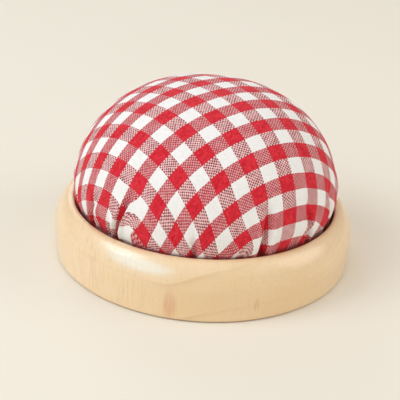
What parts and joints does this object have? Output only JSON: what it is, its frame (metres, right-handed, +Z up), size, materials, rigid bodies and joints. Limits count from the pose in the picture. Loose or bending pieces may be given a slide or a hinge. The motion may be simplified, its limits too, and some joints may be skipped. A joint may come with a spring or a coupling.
{
  "type": "pincushion",
  "caption": "Round pincushion: a domed gingham cotton cushion, gathered over a disc and stuffed, seated in a turned wooden dish.",
  "frame": {"origin": "centre of the flat face that the pincushion stands on, under the felt", "axes": "+Z up through the crown of the cushion, -Y towards the picture's viewer, +X to the viewer's right"},
  "size_m": [0.09, 0.09, 0.0523],
  "materials": {
    "felt": "matte pressed felt",
    "wood": "pale turned wood under satin lacquer",
    "screw_steel": "zinc-plated steel",
    "washer_steel": "zinc-plated steel",
    "plywood": "raw birch plywood",
    "thread": "waxed cotton thread",
    "stuffing": "packed fibre",
    "gingham": "plain-weave cotton in red and white checks"
  },
  "bodies": {
    "root": {"base_felt": "felt", "wooden_base": "wood", "fixing_screw": "screw_steel", "screw_washer": "washer_steel", "mounting_disc": "plywood", "gathering_thread": "thread", "stuffing": "stuffing", "cushion_cover": "gingham"}
  },
  "joints": []
}
